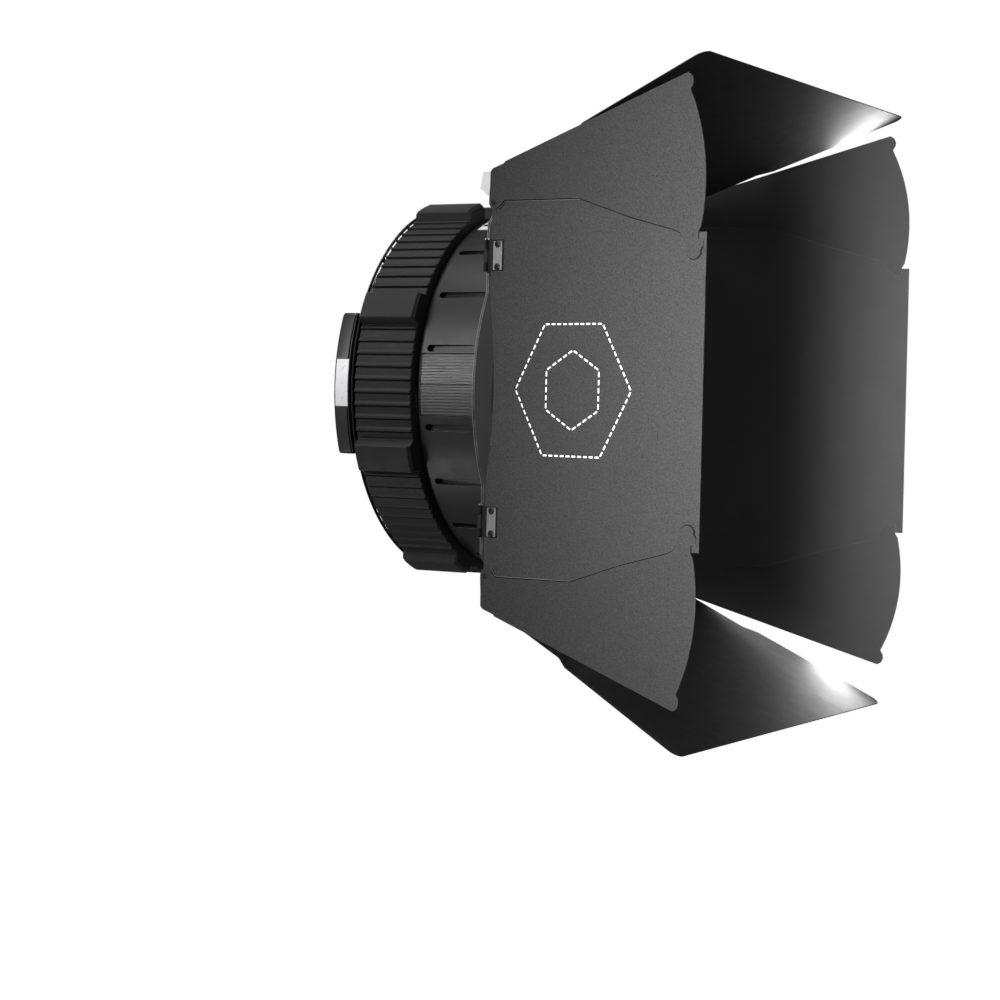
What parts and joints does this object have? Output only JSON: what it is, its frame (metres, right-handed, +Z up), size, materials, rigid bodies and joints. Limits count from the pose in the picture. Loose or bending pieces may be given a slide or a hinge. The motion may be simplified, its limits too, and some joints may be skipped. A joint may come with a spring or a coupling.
{
  "type": "barn door attachment",
  "caption": "Round Fresnel lens housing with a ribbed grip ring and a turning frame of flared sheet-metal barn doors with folding side wings.",
  "frame": {"origin": "centre of the rear mounting face, on the optical axis", "axes": "+Y along the optical axis towards the lamp (light leaves towards -Y), +Z up, -X the left side"},
  "size_m": [0.6178, 0.5325, 0.7465],
  "materials": {
    "door_coat": "matte textured charcoal powder coat",
    "wing_coat": "matte textured charcoal powder coat, slightly darker",
    "housing_black": "satin black coat",
    "grip_black": "matte black moulded grip",
    "dark_steel": "blackened steel",
    "hinge_grey": "light-grey plated steel",
    "bright_steel": "bright ground steel",
    "latch_grey": "light-grey moulded plastic",
    "plate_grey": "satin light-grey plate",
    "lens_glass": "clear stepped lens"
  },
  "bodies": {
    "housing": {"rear_mount_ring": "bright_steel", "rear_housing": "housing_black", "rear_hoop": "housing_black", "index_collar": "housing_black", "index_plate": "plate_grey", "drum": "housing_black", "ribbed_panel_left": "housing_black", "ribbed_panel_right": "housing_black", "front_bezel": "housing_black", "guide_rod_1": "bright_steel", "guide_rod_2": "bright_steel", "guide_rod_3": "bright_steel"},
    "mount_lock": {"mount_lock_ring": "grip_black"},
    "focus_ring": {"grip_ring": "grip_black", "cam_ring": "housing_black"},
    "carriage": {"lens_carriage": "housing_black", "fresnel_lens": "lens_glass", "lens_retainer": "housing_black", "cam_follower_1": "bright_steel", "cam_follower_2": "bright_steel", "cam_follower_3": "bright_steel"},
    "door_frame": {"door_frame": "housing_black", "latch_bracket": "dark_steel", "left_door_hinge_bracket_lower": "dark_steel", "left_door_hinge_pin_lower": "bright_steel", "left_door_hinge_bracket_upper": "dark_steel", "left_door_hinge_pin_upper": "bright_steel", "right_door_hinge_bracket_upper": "dark_steel", "right_door_hinge_pin_upper": "bright_steel", "right_door_hinge_bracket_lower": "dark_steel", "right_door_hinge_pin_lower": "bright_steel", "top_door_hinge_bracket_left": "dark_steel", "top_door_hinge_pin_left": "bright_steel", "top_door_hinge_bracket_right": "dark_steel", "top_door_hinge_pin_right": "bright_steel", "bottom_door_hinge_bracket_right": "dark_steel", "bottom_door_hinge_pin_right": "bright_steel", "bottom_door_hinge_bracket_left": "dark_steel", "bottom_door_hinge_pin_left": "bright_steel"},
    "latch": {"latch_lever": "latch_grey"},
    "left_door": {"left_door": "door_coat", "left_door_hinge_leaf_lower": "hinge_grey", "left_door_hinge_leaf_upper": "hinge_grey", "left_wing_rivet_lower": "dark_steel", "left_wing_rivet_upper": "dark_steel"},
    "right_door": {"right_door": "door_coat", "right_door_hinge_leaf_upper": "hinge_grey", "right_door_hinge_leaf_lower": "hinge_grey", "right_wing_rivet_upper": "dark_steel", "right_wing_rivet_lower": "dark_steel"},
    "top_door": {"top_door": "door_coat", "top_door_hinge_leaf_left": "hinge_grey", "top_door_hinge_leaf_right": "hinge_grey"},
    "bottom_door": {"bottom_door": "door_coat", "bottom_door_hinge_leaf_right": "hinge_grey", "bottom_door_hinge_leaf_left": "hinge_grey"},
    "left_wing_upper": {"left_wing_upper": "wing_coat"},
    "left_wing_lower": {"left_wing_lower": "wing_coat"},
    "right_wing_upper": {"right_wing_upper": "wing_coat"},
    "right_wing_lower": {"right_wing_lower": "wing_coat"}
  },
  "joints": [
    {"name": "mount_lock_turn", "type": "hinge", "parent": "housing", "child": "mount_lock", "pos_m": [0, 0, 0], "axis": [0, 1, 0], "range_deg": [0, 14]},
    {"name": "grip_turn", "type": "hinge", "parent": "housing", "child": "focus_ring", "pos_m": [0, 0, 0], "axis": [0, 1, 0], "range_deg": [0, 60]},
    {"name": "lens_slide", "type": "slide", "parent": "housing", "child": "carriage", "axis": [0, 1, 0], "range_m": [0, 0.06]},
    {"name": "frame_turn", "type": "hinge", "parent": "housing", "child": "door_frame", "pos_m": [0, 0, 0], "axis": [0, 1, 0], "continuous": true},
    {"name": "latch_release", "type": "hinge", "parent": "door_frame", "child": "latch", "pos_m": [-0.175, -0.208, 0.2145], "axis": [-1, 0, 0], "range_deg": [0, 25], "stiffness_Nm_per_rad": 0.4, "springref_deg": -17.19},
    {"name": "left_door_swing", "type": "hinge", "parent": "door_frame", "child": "left_door", "pos_m": [-0.235, -0.225, 0], "axis": [0, 0, -1], "range_deg": [-6, 70]},
    {"name": "right_door_swing", "type": "hinge", "parent": "door_frame", "child": "right_door", "pos_m": [0.235, -0.225, 0], "axis": [0, 0, 1], "range_deg": [-6, 70]},
    {"name": "top_door_swing", "type": "hinge", "parent": "door_frame", "child": "top_door", "pos_m": [0, -0.225, 0.2373], "axis": [1, 0, 0], "range_deg": [-62, 38]},
    {"name": "bottom_door_swing", "type": "hinge", "parent": "door_frame", "child": "bottom_door", "pos_m": [0, -0.225, -0.2373], "axis": [-1, 0, 0], "range_deg": [-56, 44]},
    {"name": "left_wing_upper_fold", "type": "hinge", "parent": "left_door", "child": "left_wing_upper", "pos_m": [-0.24021, -0.23622, 0.212], "axis": [0.9744, -0.225, 0], "range_deg": [0, 30]},
    {"name": "left_wing_lower_fold", "type": "hinge", "parent": "left_door", "child": "left_wing_lower", "pos_m": [-0.24021, -0.23622, -0.212], "axis": [-0.9744, 0.225, 0], "range_deg": [0, 30]},
    {"name": "right_wing_upper_fold", "type": "hinge", "parent": "right_door", "child": "right_wing_upper", "pos_m": [0.24021, -0.23622, 0.212], "axis": [0.9744, 0.225, 0], "range_deg": [0, 30]},
    {"name": "right_wing_lower_fold", "type": "hinge", "parent": "right_door", "child": "right_wing_lower", "pos_m": [0.24021, -0.23622, -0.212], "axis": [-0.9744, -0.225, 0], "range_deg": [0, 30]}
  ],
  "couplings": [
    {"joint": "lens_slide", "follows": "grip_turn", "m_per_rad": 0.05729}
  ]
}
